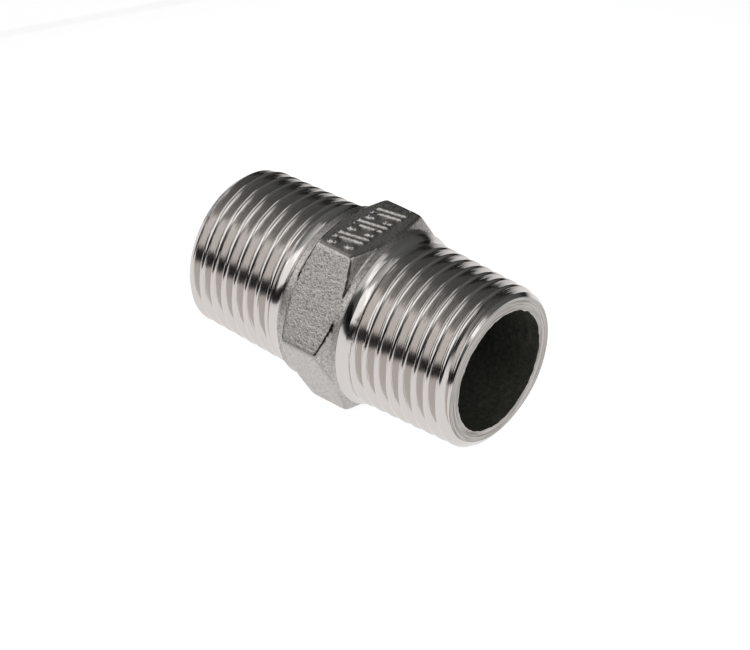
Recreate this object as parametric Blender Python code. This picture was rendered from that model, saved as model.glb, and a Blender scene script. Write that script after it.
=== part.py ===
"""Stainless steel hex nipple, R 1/2 taper thread on both ends, cast and then turned from one blank.

Metres, +X along the bore, +Z up through a hexagon flat, origin in the middle of the hexagon.
The nipple is one solid piece. It is cut as the real one is: the cast hexagon blank is turned to a
tapered outline, a helical groove cut from each end leaves the thread, and the bore runs through.
"""

from math import ceil, cos, pi, radians, sin, tan

import bmesh
import bpy
from mathutils import Matrix

# Overall
LENGTH = 0.0410
HEX_ACROSS_FLATS = 0.0224
HEX_WIDTH_AT_FLATS = 0.0071
HEX_CHAMFER = radians(28)
HEX_EDGE_RADIUS = 0.0003

# Thread, R 1/2: Whitworth form on a 1 in 16 taper, 14 turns to the inch
GAUGE_DIAMETER = 0.020955
GAUGE_LENGTH = 0.0082
PITCH = 0.0254 / 14
TAPER = 1 / 16
THREAD_ANGLE = radians(55)
THREAD_DEPTH = 0.640327 * PITCH
ROOT_FLAT = 0.166 * PITCH
RUN_OUT_LENGTH = 1.6 * PITCH

# Turned shank between hexagon and thread
COLLAR_LENGTH = 0.0010
COLLAR_STEP = 0.0001
NECK_BEVEL_LENGTH = 0.0011
NECK_LENGTH = 0.0005
NECK_RELIEF = 0.0002
NECK_RAMP = 0.0003

# End of the thread and the bore
END_CHAMFER_LENGTH = 0.0010
END_CHAMFER_DEPTH = 0.00077
WALL_UNDER_ROOT = 0.00126

# Angle at which each end's groove crosses the end plane
GROOVE_START = {"right": radians(265), "left": radians(341)}

# Mesh and cutting margins
SIDES = 32
CUT_PAST = 0.001
GROOVE_ABOVE_CREST = 0.00012
CONE_INTO_COLLAR = 0.0005

half_length = LENGTH / 2
hex_half = HEX_WIDTH_AT_FLATS / 2
flat_radius = HEX_ACROSS_FLATS / 2
corner_radius = flat_radius / cos(pi / 6)
end_crest_radius = (GAUGE_DIAMETER - GAUGE_LENGTH * TAPER) / 2
bore_radius = end_crest_radius - THREAD_DEPTH - WALL_UNDER_ROOT
collar_end = hex_half + COLLAR_LENGTH
bevel_end = collar_end + NECK_BEVEL_LENGTH
neck_end = bevel_end + NECK_LENGTH


def crest_radius(x):
    """Thread crest at a distance x from the middle; it grows towards the hexagon."""
    return end_crest_radius + (half_length - x) * TAPER / 2


def link(mesh, name):
    obj = bpy.data.objects.new(name, mesh)
    bpy.context.scene.collection.objects.link(obj)
    return obj


def cutter(obj):
    obj.hide_render = True
    obj.display_type = "WIRE"
    return obj


def turned(name, outline, sides=SIDES):
    """Solid of revolution about X from (x, radius) points that begin and end on the axis."""
    bm = bmesh.new()
    points = [bm.verts.new((x, radius, 0)) for x, radius in outline]
    edges = [bm.edges.new(pair) for pair in zip(points, points[1:])]
    bmesh.ops.spin(
        bm, geom=points + edges, cent=(0, 0, 0), axis=(1, 0, 0),
        angle=2 * pi, steps=sides, use_merge=True,
    )
    bmesh.ops.remove_doubles(bm, verts=bm.verts, dist=1e-7)
    bmesh.ops.recalc_face_normals(bm, faces=bm.faces)
    mesh = bpy.data.meshes.new(name)
    bm.to_mesh(mesh)
    bm.free()
    return link(mesh, name)


def mirrored_outline(half):
    """The whole outline from its +X half, listed from the middle out to the axis."""
    return [(-x, radius) for x, radius in reversed(half)] + half


def hexagon_cone():
    """The double cone that takes the hexagon's corners down to its flats and on into the collar."""
    rim = corner_radius + CUT_PAST
    tip = flat_radius - COLLAR_STEP - CONE_INTO_COLLAR
    tip_x = hex_half + (flat_radius - tip) * tan(HEX_CHAMFER)
    cone = turned("hexagon_cone", mirrored_outline([
        (hex_half - (rim - flat_radius) * tan(HEX_CHAMFER), rim),
        (tip_x, tip),
        (tip_x, 0),
    ]), sides=2 * SIDES)
    cone.rotation_euler.x = pi / (2 * SIDES)
    return cone


def hexagon():
    """Cast hexagon, flats up and down, its long edges rounded, its corners coned off."""
    bm = bmesh.new()
    bmesh.ops.create_cone(
        bm, cap_ends=True, segments=6, radius1=corner_radius, radius2=corner_radius,
        depth=HEX_WIDTH_AT_FLATS + 2 * CUT_PAST, matrix=Matrix.Rotation(pi / 2, 4, "Y"),
    )
    long_edges = [e for e in bm.edges if abs(e.verts[0].co.x - e.verts[1].co.x) > hex_half]
    bmesh.ops.bevel(
        bm, geom=long_edges, offset=HEX_EDGE_RADIUS * tan(pi / 6), segments=2, profile=0.5,
        affect="EDGES",
    )
    mesh = bpy.data.meshes.new("nipple_body")
    bm.to_mesh(mesh)
    bm.free()
    return link(mesh, "nipple_body")


def shank():
    """Turned stock for both necks and threads, from end to end."""
    thread_start = neck_end + NECK_RAMP
    chamfer_start = half_length - END_CHAMFER_LENGTH
    neck_radius = crest_radius(neck_end) - NECK_RELIEF
    return turned("shank", mirrored_outline([
        (collar_end, flat_radius - COLLAR_STEP),
        (bevel_end, neck_radius),
        (neck_end, neck_radius),
        (thread_start, crest_radius(thread_start)),
        (chamfer_start, crest_radius(chamfer_start)),
        (half_length, end_crest_radius - END_CHAMFER_DEPTH),
        (half_length, 0),
    ]))


def thread_groove(end):
    """Helical cutter of the groove between the crests, right-handed, out past the end face."""
    slope = tan(THREAD_ANGLE / 2)
    step = 2 * pi / SIDES
    run_out_end = neck_end + NECK_RAMP
    first = ceil((GROOVE_START[end] + 2 * pi) / step)
    turns = (half_length + PITCH - run_out_end) / PITCH
    bm = bmesh.new()
    rings = []
    for i in range(ceil(turns * SIDES) + 1):
        angle = (first - i + 0.5) * step
        x = half_length + (angle - GROOVE_START[end]) / (2 * pi) * PITCH
        share = min(1, (x - run_out_end) / RUN_OUT_LENGTH)
        outer = crest_radius(x) + GROOVE_ABOVE_CREST
        root = outer - share * (THREAD_DEPTH + GROOVE_ABOVE_CREST)
        root = min(root, outer - GROOVE_ABOVE_CREST / 2)
        half_root = ROOT_FLAT / 2
        half_outer = half_root + (outer - root) * slope
        section = [(-half_outer, outer), (half_outer, outer), (half_root, root), (-half_root, root)]
        rings.append([
            bm.verts.new((x + dx, radius * cos(angle), radius * sin(angle)))
            for dx, radius in section
        ])
    for near, far in zip(rings, rings[1:]):
        for k in range(4):
            bm.faces.new((near[k], near[k - 1], far[k - 1], far[k]))
    bm.faces.new(rings[0])
    bm.faces.new(reversed(rings[-1]))
    bmesh.ops.triangulate(bm, faces=bm.faces)
    bmesh.ops.recalc_face_normals(bm, faces=bm.faces)
    if end == "left":
        bmesh.ops.transform(bm, matrix=Matrix.Rotation(pi, 4, "Z"), verts=bm.verts)
    mesh = bpy.data.meshes.new(f"{end}_groove")
    bm.to_mesh(mesh)
    bm.free()
    return cutter(link(mesh, f"{end}_groove"))


def bore():
    past = half_length + CUT_PAST
    return cutter(turned("bore", [(-past, 0), (-past, bore_radius), (past, bore_radius), (past, 0)]))


def boolean(obj, other, operation):
    modifier = obj.modifiers.new(f"{operation.lower()} {other.name}", "BOOLEAN")
    modifier.operation = operation
    modifier.solver = "EXACT"
    modifier.object = other


def stainless_steel():
    material = bpy.data.materials.new("stainless_steel")
    material.use_nodes = True
    shader = material.node_tree.nodes["Principled BSDF"]
    shader.inputs["Base Color"].default_value = (0.56, 0.53, 0.51, 1)
    shader.inputs["Metallic"].default_value = 1
    shader.inputs["Roughness"].default_value = 0.3
    return material


for old in list(bpy.data.objects):
    bpy.data.objects.remove(old, do_unlink=True)

body = hexagon()
boolean(body, cutter(hexagon_cone()), "INTERSECT")
boolean(body, cutter(shank()), "UNION")
boolean(body, thread_groove("right"), "DIFFERENCE")
boolean(body, thread_groove("left"), "DIFFERENCE")
boolean(body, bore(), "DIFFERENCE")
body.data.materials.append(stainless_steel())
body.data.shade_smooth()
body.data.set_sharp_from_angle(angle=radians(30))
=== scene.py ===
from math import cos, hypot, pi, radians, sin, tan

import bpy
from mathutils import Matrix, Vector


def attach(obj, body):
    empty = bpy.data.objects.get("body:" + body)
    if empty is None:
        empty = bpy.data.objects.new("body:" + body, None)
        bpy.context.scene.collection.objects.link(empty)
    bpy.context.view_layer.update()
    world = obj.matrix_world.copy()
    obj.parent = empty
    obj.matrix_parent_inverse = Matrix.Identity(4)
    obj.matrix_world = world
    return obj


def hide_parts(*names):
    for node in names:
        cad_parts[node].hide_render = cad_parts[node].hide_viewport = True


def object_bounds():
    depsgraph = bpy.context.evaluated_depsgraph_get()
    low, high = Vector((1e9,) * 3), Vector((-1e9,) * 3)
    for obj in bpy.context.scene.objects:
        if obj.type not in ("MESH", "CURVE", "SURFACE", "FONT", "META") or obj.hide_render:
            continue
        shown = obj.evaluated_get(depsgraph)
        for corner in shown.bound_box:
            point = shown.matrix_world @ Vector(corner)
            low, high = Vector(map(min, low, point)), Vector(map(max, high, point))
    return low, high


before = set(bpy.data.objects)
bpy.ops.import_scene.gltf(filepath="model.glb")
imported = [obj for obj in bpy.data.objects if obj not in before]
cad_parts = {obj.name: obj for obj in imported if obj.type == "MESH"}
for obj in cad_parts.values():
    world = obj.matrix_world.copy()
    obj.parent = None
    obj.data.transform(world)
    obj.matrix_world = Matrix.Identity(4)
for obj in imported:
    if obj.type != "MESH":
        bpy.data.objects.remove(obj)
cadLow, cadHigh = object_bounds()
print("frame loaded")

mm = 0.001
halfLength = cadHigh.x     # the bore runs along X
flatRadius = cadHigh.z     # from the axis to a flat of the hexagon
longEdge = 6 * mm          # an edge that runs along the bore is longer than this


# small tools for modelling

def pickNothing():
    if bpy.context.mode != "OBJECT":
        bpy.ops.object.mode_set(mode="OBJECT")
    bpy.ops.object.select_all(action="DESELECT")


def pick(shape):
    pickNothing()
    shape.select_set(True)
    bpy.context.view_layer.objects.active = shape


def finishModifier(shape, kind, **settings):
    pick(shape)
    modifier = shape.modifiers.new(kind.lower(), kind)
    for name, value in settings.items():
        setattr(modifier, name, value)
    bpy.ops.object.modifier_apply(modifier=modifier.name)


def combine(shape, tool, operation):
    finishModifier(shape, "BOOLEAN", object=tool, operation=operation, solver="MANIFOLD")
    bpy.data.objects.remove(tool)


def roughen(shape, name, lumpSize, detail, height):
    # moves the surface in and out in lumps of this size, by up to half the height
    clouds = bpy.data.textures.new(name, "CLOUDS")
    clouds.noise_scale = lumpSize
    clouds.noise_depth = detail
    finishModifier(shape, "DISPLACE", texture=clouds, texture_coords="LOCAL",
                   strength=height, mid_level=0.5)


def putInMesh(shape):
    pick(shape)
    bpy.ops.object.transform_apply(location=True, rotation=True, scale=True)


def faceOutwards(shape):
    pick(shape)
    bpy.ops.object.mode_set(mode="EDIT")
    bpy.ops.mesh.select_all(action="SELECT")
    bpy.ops.mesh.remove_doubles(threshold=1e-7)
    bpy.ops.mesh.normals_make_consistent(inside=False)
    bpy.ops.object.mode_set(mode="OBJECT")


def editLongEdges(shape):
    # into edit mode with only the edges along the bore selected
    pick(shape)
    bpy.ops.object.mode_set(mode="EDIT")
    bpy.ops.mesh.select_all(action="DESELECT")
    bpy.ops.mesh.select_mode(type="EDGE")
    bpy.ops.object.mode_set(mode="OBJECT")
    for edge in shape.data.edges:
        start, end = (shape.data.vertices[v].co for v in edge.vertices)
        edge.select = abs(start.x - end.x) > longEdge
    bpy.ops.object.mode_set(mode="EDIT")


def drawOutline(name, points):
    # one point, then pulled out from corner to corner in the XY plane
    pickNothing()
    bpy.ops.mesh.primitive_plane_add(size=mm)
    shape = bpy.context.object
    shape.name = name
    bpy.ops.object.mode_set(mode="EDIT")
    bpy.ops.mesh.select_mode(type="VERT")
    bpy.ops.mesh.select_all(action="SELECT")
    bpy.ops.mesh.merge(type="CENTER")
    bpy.ops.transform.translate(value=(*points[0], 0))
    for (x0, y0), (x1, y1) in zip(points, points[1:]):
        bpy.ops.mesh.extrude_vertices_move(
            TRANSFORM_OT_translate={"value": (x1 - x0, y1 - y0, 0)})
    bpy.ops.object.mode_set(mode="OBJECT")
    return shape


def turnOnLathe(name, points, steps):
    # points are (place along the bore, radius), the first and last on the axis
    shape = drawOutline(name, points)
    finishModifier(shape, "SCREW", axis="X", steps=steps, render_steps=steps,
                   use_merge_vertices=True, merge_threshold=1e-6)
    faceOutwards(shape)
    return shape


def bothEnds(half):
    return [(-x, radius) for x, radius in reversed(half)] + half


# taper threads, one R 1/2 thread on each end

thread = {
    "pitch": 25.4 * mm / 14,
    "flankAngle": radians(55),
    "endRadius": 10.22 * mm,     # over the crests at the end face
    "taper": 1 / 32,             # radius lost along the axis towards the end
    "crestRounding": 0.19,       # of the pitch: the crests are rounder than the roots
    "rootRounding": 0.1,
    "depth": 0.623,              # of the pitch, so that the flanks meet both roundings squarely
    "stepsPerTurn": 120,
    "crestSteps": 8,
    "rootSteps": 4,
    "turns": 10,
    "crestStart": {"right": 14.63 * mm, "left": 12.43 * mm},   # before the left end is turned round
    "endChamfer": (1.0 * mm, 0.77 * mm),     # long, deep
    "firstCrest": 6.45 * mm,     # from the middle of the hexagon
    # past the first crest and below the crests: a steep cone that the grooves run out on
    "runOut": [(0, 0.02 * mm), (0.2 * mm, 0.35 * mm), (0.65 * mm, 1.05 * mm), (1.6 * mm, 1.2 * mm)],
    "hiddenStart": [(2 * mm, 0), (2 * mm, 10.3 * mm), (5.9 * mm, 10.42 * mm)],   # inside the core
    "clearance": 0.01 * mm,
    "limitSteps": 192,
}


def crestRadius(x):
    return thread["endRadius"] + (halfLength - x) * thread["taper"]


def arcPoints(x, y, radius, fromAngle, toAngle, steps):
    angles = [fromAngle + (toAngle - fromAngle) * i / steps for i in range(steps + 1)]
    return [(x + radius * sin(a), y + radius * cos(a)) for a in angles]


def grooveOutline(middleRadius):
    # half a root, a crest and half a root, with straight flanks between them
    pitch = thread["pitch"]
    crestRound, rootRound = thread["crestRounding"] * pitch, thread["rootRounding"] * pitch
    crestY = middleRadius - crestRound
    rootY = middleRadius - thread["depth"] * pitch + rootRound
    lean = pi / 2 - thread["flankAngle"] / 2
    outline = arcPoints(0, rootY, rootRound, pi, pi - lean, thread["rootSteps"])
    outline += arcPoints(pitch / 2, crestY, crestRound, -lean, lean, thread["crestSteps"])
    return outline + arcPoints(pitch, rootY, rootRound, pi + lean, pi, thread["rootSteps"])


def closeRodEnd(rod, side, x):
    # the open rim of one end, drawn in to a point on the axis
    pick(rod)
    bpy.ops.object.mode_set(mode="EDIT")
    bpy.ops.mesh.select_all(action="DESELECT")
    bpy.ops.mesh.select_mode(type="EDGE")
    bpy.ops.mesh.select_non_manifold()
    bpy.ops.object.mode_set(mode="OBJECT")
    for edge in rod.data.edges:
        edge.select = edge.select and rod.data.vertices[edge.vertices[0]].co.x * side > 0
    bpy.ops.object.mode_set(mode="EDIT")
    bpy.ops.mesh.extrude_edges_move()
    bpy.ops.transform.resize(value=(0, 0, 0), center_override=(side * x, 0, 0))
    bpy.ops.mesh.remove_doubles(threshold=1e-6)
    bpy.ops.object.mode_set(mode="OBJECT")


def threadRod(end):
    pitch = thread["pitch"]
    rodLength = thread["turns"] * pitch
    rodMiddle = halfLength + pitch - rodLength / 2
    middleRadius = crestRadius(rodMiddle)
    start = (thread["crestStart"][end] - rodMiddle - pitch / 2) % pitch - rodLength / 2 - pitch
    rod = drawOutline(f"{end}Rod", [(x + start, y) for x, y in grooveOutline(middleRadius)])
    finishModifier(rod, "SCREW", axis="X", screw_offset=pitch, iterations=thread["turns"],
                   steps=thread["stepsPerTurn"], render_steps=thread["stepsPerTurn"],
                   use_merge_vertices=False)
    faceOutwards(rod)
    for side in (-1, 1):
        closeRodEnd(rod, side, rodLength / 2)
    faceOutwards(rod)
    finishModifier(rod, "SIMPLE_DEFORM", deform_method="TAPER", deform_axis="X",
                   factor=-thread["taper"] / middleRadius * rod.dimensions.x)
    rod.location.x = rodMiddle
    putInMesh(rod)
    return rod


def threadedEnd(end):
    rod = threadRod(end)
    chamferLong, chamferDeep = thread["endChamfer"]
    firstCrest = thread["firstCrest"]
    rim = halfLength - chamferLong
    limits = turnOnLathe(f"{end}Limits", [
        *thread["hiddenStart"],
        (firstCrest, crestRadius(firstCrest) - thread["clearance"]),
        (rim, crestRadius(rim) + thread["clearance"]),
        (halfLength, crestRadius(rim) - chamferDeep),
        (halfLength, 0)], thread["limitSteps"])
    combine(rod, limits, "INTERSECT")
    if end == "left":
        rod.rotation_euler.z = pi
        putInMesh(rod)
    return rod


# turned core: relief and neck beside the hexagon, and the cone under the first grooves

core = {
    "collarRadius": 11.12 * mm,
    "collarEnd": 4.55 * mm,
    "reliefEnd": 5.35 * mm,
    "reliefRise": 0.03 * mm,     # how far the relief starts above the collar
    "reliefPower": 1.5,
    "reliefPlaces": (0, 0.12, 0.24, 0.36, 0.48, 0.6, 0.7, 0.8, 0.9, 1),
    "neckRadius": 10.47 * mm,
    "neckEnd": 6.12 * mm,
    "neckFall": 0.01 * mm,
    "insideCollar": (0.9 * mm, 0.4 * mm),    # back from the collar's end, below its surface
    "insideThread": (12 * mm, 9 * mm),       # where the core stops, and its radius there
    "steps": 192,
}


def turnedCore():
    c = core
    back, below = c["insideCollar"]
    stop, stopRadius = c["insideThread"]
    drop = c["collarRadius"] + c["reliefRise"] - c["neckRadius"]
    length = c["reliefEnd"] - c["collarEnd"]
    runOut = [(thread["firstCrest"] + along, deep) for along, deep in thread["runOut"]]
    half = [(c["collarEnd"] - back, c["collarRadius"] - below)]
    half += [(c["collarEnd"] + length * t, c["neckRadius"] + drop * (1 - t) ** c["reliefPower"])
             for t in c["reliefPlaces"]]
    half += [(c["neckEnd"], c["neckRadius"] - c["neckFall"])]
    half += [(x, crestRadius(x) - deep) for x, deep in runOut]
    half += [(stop, stopRadius), (stop, 0)]
    return turnOnLathe("core", bothEnds(half), c["steps"])


# cast hexagon with its collars and raised foundry marks

hexagon = {
    "halfWidthAtFlat": 3.55 * mm,
    "chamfer": radians(28),
    "chamferReach": 15 * mm,     # radius of the chamfer cones, past the corners
    "blockLength": 12 * mm,
    "edgeBevel": 0.3 * mm,
    "bevelSteps": 3,
    "blockGrain": 0.2 * mm,      # mesh size while the edges are rounded
    "blockSmoothing": 9,
    "latheSteps": 128,
    "collarInset": 0.02 * mm,
    "grain": 0.16 * mm,          # mesh size of the cast skin
    "smoothing": 4,
    "skin": 0.05 * mm,
    "skinLumps": 0.4 * mm,
    "skinDetail": 2,
}

marks = {
    "height": 0.34 * mm,
    "row": [("pips", -5.0 * mm), ("bars", -3.2 * mm), ("pips", -1.3 * mm), ("bars", 0.3 * mm),
            ("pips", 2.1 * mm), ("bars", 3.8 * mm), ("pips", 5.2 * mm)],
    "pipRadius": 0.58 * mm,
    "pipSides": 24,
    "pipPlace": (1.2 * mm, 0.15 * mm),
    "barSize": (4.0 * mm, 0.56 * mm),
    "barPlace": 0.5 * mm,
    "barTurn": radians(12),
}


def raisedBar(y):
    # a slanted bar, its lower half sunk into the top flat
    pickNothing()
    bpy.ops.mesh.primitive_cube_add(size=1, location=(0, y, flatRadius),
                                    rotation=(0, 0, marks["barTurn"]),
                                    scale=(*marks["barSize"], 2 * marks["height"]))
    bar = bpy.context.object
    putInMesh(bar)
    return bar


def raisedPip(x, y):
    pickNothing()
    bpy.ops.mesh.primitive_cylinder_add(vertices=marks["pipSides"], radius=marks["pipRadius"],
                                        depth=2 * marks["height"], location=(x, y, flatRadius))
    pip = bpy.context.object
    putInMesh(pip)
    return pip


def raisedMark(kind, y):
    if kind == "pips":
        along, across = marks["pipPlace"]
        return [raisedPip(side * along, y + side * across) for side in (-1, 1)]
    return [raisedBar(y + side * marks["barPlace"]) for side in (-1, 1)]


def castHexagon():
    h = hexagon
    pickNothing()
    bpy.ops.mesh.primitive_cylinder_add(vertices=6, radius=flatRadius / cos(pi / 6),
                                        depth=h["blockLength"], rotation=(0, pi / 2, 0))
    block = bpy.context.object
    block.name = "hexagon"
    putInMesh(block)
    editLongEdges(block)
    bpy.ops.mesh.bevel(offset=h["edgeBevel"], segments=h["bevelSteps"])
    bpy.ops.object.mode_set(mode="OBJECT")
    tip = h["halfWidthAtFlat"] + flatRadius * tan(h["chamfer"])
    wide = h["chamferReach"]
    cone = turnOnLathe("hexCone", bothEnds([(tip - wide * tan(h["chamfer"]), wide), (tip, 0)]),
                       h["latheSteps"])
    combine(block, cone, "INTERSECT")
    finishModifier(block, "REMESH", mode="VOXEL", voxel_size=h["blockGrain"])
    finishModifier(block, "SMOOTH", factor=0.5, iterations=h["blockSmoothing"])
    rim = core["collarEnd"] - h["collarInset"]
    collar = turnOnLathe("collar", bothEnds([(rim, core["collarRadius"]), (rim, 0)]),
                         h["latheSteps"])
    combine(block, collar, "UNION")
    for kind, y in marks["row"]:
        for mark in raisedMark(kind, y):
            combine(block, mark, "UNION")
    finishModifier(block, "REMESH", mode="VOXEL", voxel_size=h["grain"])
    finishModifier(block, "SMOOTH", factor=0.5, iterations=h["smoothing"])
    roughen(block, "castSkin", h["skinLumps"], h["skinDetail"], h["skin"])
    return block


# bore, left as it was cast

bore = {
    "radius": 7.8 * mm,
    "length": 44 * mm,           # past both end faces
    "rings": 110,
    "steps": 120,
    "roughness": 0.48 * mm,
    "lumps": 0.8 * mm,
    "lumpDetail": 3,
}


def boreCore():
    b = bore
    pickNothing()
    bpy.ops.mesh.primitive_cylinder_add(vertices=b["steps"], radius=b["radius"], depth=b["length"],
                                        end_fill_type="TRIFAN", rotation=(0, pi / 2, 0))
    shape = bpy.context.object
    shape.name = "boreCore"
    putInMesh(shape)
    editLongEdges(shape)
    bpy.ops.mesh.subdivide_edgering(number_cuts=b["rings"], interpolation="LINEAR")
    bpy.ops.object.mode_set(mode="OBJECT")
    roughen(shape, "boreLumps", b["lumps"], b["lumpDetail"], b["roughness"])
    return shape


# finishes

finishes = {
    # shot-blasted and pickled investment casting: matt, finely pitted, darker in the pits
    "castStainless": {
        "shade": "#b0aca6", "roughness": 0.31, "metallic": 1,
        "pattern": "lumps", "size": 0.22 * mm, "detail": 3, "depth": 0.06 * mm,
        "stops": [(0.34, "#807d79"), (0.48, "#b0aba8"), (0.66, "#c6c1be")]},
    # thread cut with a die: bright, with faint marks along the groove
    "dieCutStainless": {
        "shade": "#cdc8c5", "roughness": 0.15, "metallic": 1,
        "pattern": "rings", "size": 0.22 * mm, "detail": 2, "depth": 0.03 * mm},
    # faced on a lathe: bright, with fine rings that spread the shine, and darker between them
    "turnedStainless": {
        "shade": "#b9b4b0", "roughness": 0.2, "metallic": 1,
        "pattern": "rings", "size": 0.14 * mm, "detail": 3, "depth": 0.008 * mm,
        "stops": [(0.34, "#76726d"), (0.5, "#a5a09c"), (0.66, "#bab5b1")]},
    # bore left as cast: dark scale, coarse and uneven
    "scaledStainless": {
        "shade": "#606158", "roughness": 0.48, "metallic": 0.6,
        "pattern": "lumps", "size": 0.5 * mm, "detail": 5, "depth": 0.06 * mm,
        "stops": [(0.4, "#53544c"), (0.7, "#6e6f66")]},
    # edges of the hexagon, rubbed smooth by tumbling: they mirror the room as a thin clean line,
    # and their colour is painted darker than the cast faces, a painted shade that outlines each
    # flat
    "tumbledStainless": {"shade": "#a19d98", "roughness": 0.17, "metallic": 1},
}

finishEdges = {
    "endFace": 0.002 * mm,       # a face this near the end plane was faced on the lathe
    "boreWall": 0.4 * mm,        # beyond the bore's radius
    "collarOverlap": 0.03 * mm,
    "aboveCollar": 0.06 * mm,
    "mostTilt": 0.74,            # normal along the bore, past which a face is the chamfer
    "flatness": 0.965,           # normal along a flat's own, past which a face is that flat
    "smoothAngle": radians(32),
}
ringLength = 5 * mm              # how long a turning mark is round the axis
grit = 0.6                       # strength of the finer detail in every pattern


def colour(code):
    values = [int(code[i:i + 2], 16) / 255 for i in (1, 3, 5)]
    return (*(v / 12.92 if v < 0.04045 else ((v + 0.055) / 1.055) ** 2.4 for v in values), 1)


def addNode(tree, kind, inputs, stops=(), **settings):
    # inputs: a value or another node's output for each named or numbered socket
    node = tree.nodes.new("ShaderNode" + kind)
    for name, value in settings.items():
        setattr(node, name, value)
    for socket, value in inputs.items():
        if isinstance(value, bpy.types.NodeSocket):
            tree.links.new(value, node.inputs[socket])
        else:
            node.inputs[socket].default_value = value
    for _ in stops[2:]:
        node.color_ramp.elements.new(0.5)
    for i, (place, shade) in enumerate(stops):
        node.color_ramp.elements[i].position = place
        node.color_ramp.elements[i].color = colour(shade)
    return node


def lumpPattern(tree, size, detail):
    # even noise whose lumps are about this size
    place = addNode(tree, "TexCoord", {}).outputs["Object"]
    spread = addNode(tree, "Mapping", {"Vector": place, "Scale": [1 / size] * 3})
    return addNode(tree, "TexNoise", {"Vector": spread.outputs[0], "Scale": 1, "Detail": detail,
                                      "Roughness": grit}).outputs[0]


def ringPattern(tree, size, detail):
    # turning marks: fine along the axis and the radius, long round the axis
    place = addNode(tree, "TexCoord", {}).outputs["Object"]
    parts = addNode(tree, "SeparateXYZ", {0: place})
    y, z = parts.outputs["Y"], parts.outputs["Z"]
    across = addNode(tree, "CombineXYZ", {"Y": y, "Z": z})
    radius = addNode(tree, "VectorMath", {0: across.outputs[0]}, operation="LENGTH")
    along = addNode(tree, "Math", {0: parts.outputs["X"], 1: radius.outputs["Value"]},
                    operation="ADD")
    fine = addNode(tree, "Math", {0: along.outputs[0], 1: 1 / size}, operation="MULTIPLY")
    longY = addNode(tree, "Math", {0: y, 1: 1 / ringLength}, operation="MULTIPLY")
    longZ = addNode(tree, "Math", {0: z, 1: 1 / ringLength}, operation="MULTIPLY")
    mixed = addNode(tree, "CombineXYZ", {"X": fine.outputs[0], "Y": longY.outputs[0],
                                         "Z": longZ.outputs[0]})
    return addNode(tree, "TexNoise", {"Vector": mixed.outputs[0], "Scale": 1, "Detail": detail,
                                      "Roughness": grit}).outputs[0]


def newFinish(name, shade, roughness):
    material = bpy.data.materials.new(name)
    material.use_nodes = True
    tree = material.node_tree
    shader = tree.nodes["Principled BSDF"]
    shader.inputs["Base Color"].default_value = colour(shade)
    shader.inputs["Roughness"].default_value = roughness
    return material, tree, shader


def steelFinish(name, look):
    # one pattern raises the surface, and where there are stops it also shades it
    material, tree, shader = newFinish(name, look["shade"], look["roughness"])
    shader.inputs["Metallic"].default_value = look["metallic"]
    if "pattern" not in look:
        return material
    pattern = {"lumps": lumpPattern, "rings": ringPattern}[look["pattern"]]
    height = pattern(tree, look["size"], look["detail"])
    if "stops" in look:
        shaded = addNode(tree, "ValToRGB", {0: height}, stops=look["stops"])
        tree.links.new(shaded.outputs[0], shader.inputs["Base Color"])
    relief = addNode(tree, "Bump", {"Height": height, "Distance": look["depth"], "Strength": 1})
    tree.links.new(relief.outputs[0], shader.inputs["Normal"])
    return material


def finishOf(face, flats):
    e = finishEdges
    x, radius = abs(face.center.x), hypot(face.center.y, face.center.z)
    if x > halfLength - e["endFace"]:
        return "turnedStainless"
    if radius < bore["radius"] + e["boreWall"]:
        return "scaledStainless"
    if x > core["collarEnd"] - e["collarOverlap"]:
        return "dieCutStainless"
    # faces on the hexagon's rounded edges, neither flat nor chamfer, take the edge finish with its
    # painted shade
    if radius > core["collarRadius"] + e["aboveCollar"] and abs(face.normal.x) < e["mostTilt"]:
        if max(face.normal.dot(flat) for flat in flats) < e["flatness"]:
            return "tumbledStainless"
    return "castStainless"


def giveFinishes(shape):
    flats = [Vector((0, cos(a), sin(a))) for a in (radians(30 + 60 * i) for i in range(6))]
    shape.data.materials.clear()
    for name, look in finishes.items():
        shape.data.materials.append(steelFinish(name, look))
    slots = list(finishes)
    for face in shape.data.polygons:
        face.material_index = slots.index(finishOf(face, flats))
    pick(shape)
    bpy.ops.object.shade_smooth_by_angle(angle=finishEdges["smoothAngle"])


# the nipple, made by joining core, threads and hexagon and then opening the bore

def hexNipple():
    turned = turnedCore()
    print("core turned")
    for end in ("right", "left"):
        combine(turned, threadedEnd(end), "UNION")
    print("threads cut")
    nipple = castHexagon()
    print("hexagon cast", len(nipple.data.polygons))
    combine(nipple, turned, "UNION")
    combine(nipple, boreCore(), "DIFFERENCE")
    nipple.name = "nippleVisual"
    nipple.data.name = "nippleVisual"
    giveFinishes(nipple)
    print("nipple finished", len(nipple.data.polygons))
    return nipple


nipple = hexNipple()
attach(nipple, "root")
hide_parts("nipple_body")


# stage: pale floor that glows with painted light, soft light from the front left, dark room behind

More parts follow.
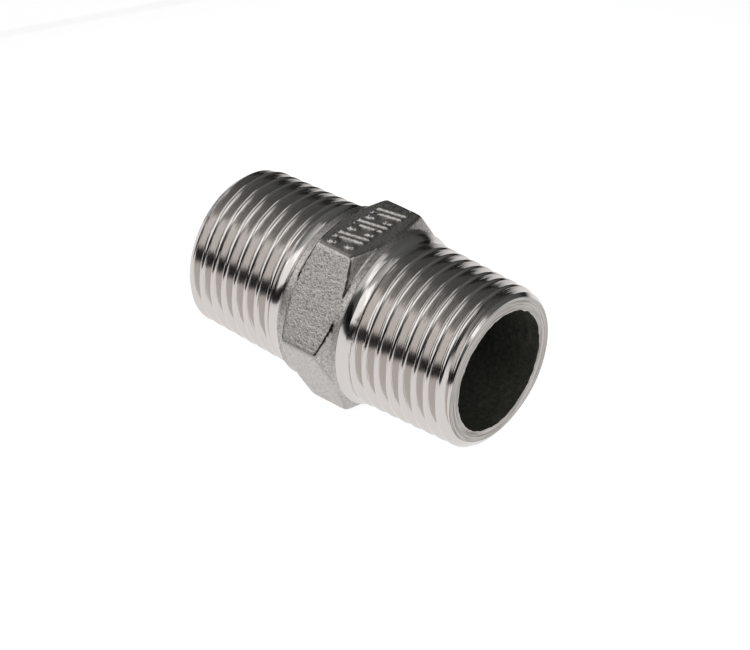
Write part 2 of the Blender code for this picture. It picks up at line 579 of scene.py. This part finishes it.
stage = {
    "floorSize": 6,              # metres
    "floorShade": "#8a8a8a",
    "floorRoughness": 0.9,
    # painted light: the floor glows by itself, this strongly under the nipple
    "floorGlow": 0.92,
    "farGlow": 0.4,              # share of the glow that is left far out
    "glowEdge": (0.085, 0.40),   # the glow fades between these distances
    "cardShade": "#0a0a0a",
    "cardThickness": 2 * mm,
    "cards": [{"azimuth": -33, "distance": 0.085, "width": 0.19, "top": 0.0175},
              {"azimuth": -115, "distance": 0.1, "width": 0.24, "top": 0.017},
              {"azimuth": 36, "distance": 0.12, "width": 0.14, "top": 0.045}],
    "room": [(0, "#101010"), (0.12, "#181817"), (0.22, "#565857"),    # sine of the height
             (0.6, "#606362"), (1, "#737675")],
    "lightDistance": 0.8,
    "lights": {
        "frontLeft": {"azimuth": -34, "elevation": 33, "size": (1.15, 0.62), "radiance": 1.14},
        "left": {"azimuth": -92, "elevation": 25, "size": (0.8, 0.4), "radiance": 1.0},
        "upperLeft": {"azimuth": -80, "elevation": 56, "size": (0.8, 0.4), "radiance": 0.38},
        "front": {"azimuth": 40, "elevation": 58, "size": (0.95, 0.34), "radiance": 0.65},
        "highRight": {"azimuth": 82, "elevation": 56, "size": (0.5, 0.58), "radiance": 0.66},
        "right": {"azimuth": 95, "elevation": 31, "size": (0.55, 0.4), "radiance": 0.65},
    },
}


def direction(azimuth, elevation):
    # azimuth from the front, which is -Y, towards +X
    a, e = radians(azimuth), radians(elevation)
    return Vector((sin(a) * cos(e), -cos(a) * cos(e), sin(e)))


def softbox(name, azimuth, elevation, size, radiance):
    pickNothing()
    place = direction(azimuth, elevation) * stage["lightDistance"]
    bpy.ops.object.light_add(type="AREA", location=place)
    light = bpy.context.object
    light.name = name
    light.rotation_euler = (-place).to_track_quat("-Z", "Y").to_euler()
    light.data.shape = "RECTANGLE"
    light.data.size, light.data.size_y = size
    light.data.energy = radiance * pi * size[0] * size[1]
    light.visible_camera = False


def litFloor():
    # pale floor that glows by itself, a painted light that is brightest under the nipple and fades
    # outwards, standing in for a white acrylic table lit from below
    pickNothing()
    bpy.ops.mesh.primitive_plane_add(size=stage["floorSize"], location=(0, 0, -flatRadius))
    floor = bpy.context.object
    floor.name = "floor"
    putInMesh(floor)
    acrylic, tree, shader = newFinish("litAcrylic", stage["floorShade"], stage["floorRoughness"])
    shader.inputs["Specular IOR Level"].default_value = 0
    shader.inputs["Emission Color"].default_value = (1, 1, 1, 1)
    # painted pool of light: the floor's own glow, strongest near the nipple and fading with
    # distance
    place = addNode(tree, "TexCoord", {}).outputs["Object"]
    reach = addNode(tree, "VectorMath", {0: place}, operation="LENGTH").outputs["Value"]
    near, far = stage["glowEdge"]
    glow = addNode(tree, "MapRange", {"Value": reach, "From Min": near, "From Max": far,
                                      "To Min": stage["floorGlow"],
                                      "To Max": stage["floorGlow"] * stage["farGlow"]})
    tree.links.new(glow.outputs[0], shader.inputs["Emission Strength"])
    floor.data.materials.append(acrylic)


def blackCards():
    # low cards of black felt, which swallows light, keep the far floor out of the threads
    felt, _, shader = newFinish("blackFelt", stage["cardShade"], 0.5)
    shader.inputs["Specular IOR Level"].default_value = 0
    for place in stage["cards"]:
        foot = direction(place["azimuth"], 0) * place["distance"]
        pickNothing()
        bpy.ops.mesh.primitive_cube_add(
            size=1, location=(foot.x, foot.y, (place["top"] - flatRadius) / 2),
            rotation=(0, 0, radians(place["azimuth"])),
            scale=(place["width"], stage["cardThickness"], place["top"] + flatRadius))
        card = bpy.context.object
        card.name = "blackCard"
        card.data.materials.append(felt)
        card.visible_camera = False
        card.visible_shadow = False


def darkRoom():
    # dark at the horizon and paler overhead
    world = bpy.data.worlds.new("darkRoom")
    world.use_nodes = True
    sky = world.node_tree
    place = addNode(sky, "TexCoord", {}).outputs["Generated"]
    height = addNode(sky, "SeparateXYZ", {0: place}).outputs["Z"]
    shaded = addNode(sky, "ValToRGB", {0: height}, stops=stage["room"])
    sky.links.new(shaded.outputs[0], sky.nodes["Background"].inputs["Color"])
    bpy.context.scene.world = world
    bpy.context.scene.view_settings.view_transform = "Standard"


litFloor()
blackCards()
for name, settings in stage["lights"].items():
    softbox(name, **settings)
darkRoom()
print("stage lit")


# camera

view = {
    "lens": 140.28,              # mm
    "sensor": 36,                # mm wide
    "distance": 355.4 * mm,
    "azimuth": 38.37,
    "elevation": 34.34,
    "roll": radians(2.47),
    "aimRight": 1.073 * mm,
    "aimUp": -2.424 * mm,
    "clip": (0.01, 20),
}


def placeCamera():
    back = direction(view["azimuth"], view["elevation"])
    turn, roll = radians(view["azimuth"]), view["roll"]
    level = Vector((cos(turn), sin(turn), 0))
    upright = back.cross(level)
    right = level * cos(roll) + upright * sin(roll)
    up = upright * cos(roll) - level * sin(roll)
    aim = right * view["aimRight"] + up * view["aimUp"]
    bpy.ops.object.camera_add()
    camera = bpy.context.object
    camera.name = "camera"
    camera.data.lens = view["lens"]
    camera.data.sensor_width = view["sensor"]
    camera.data.clip_start, camera.data.clip_end = view["clip"]
    camera.matrix_world = Matrix.Translation(aim + back * view["distance"]) @ Matrix(
        (right, up, back)).transposed().to_4x4()
    bpy.context.scene.camera = camera


placeCamera()
print("camera placed")
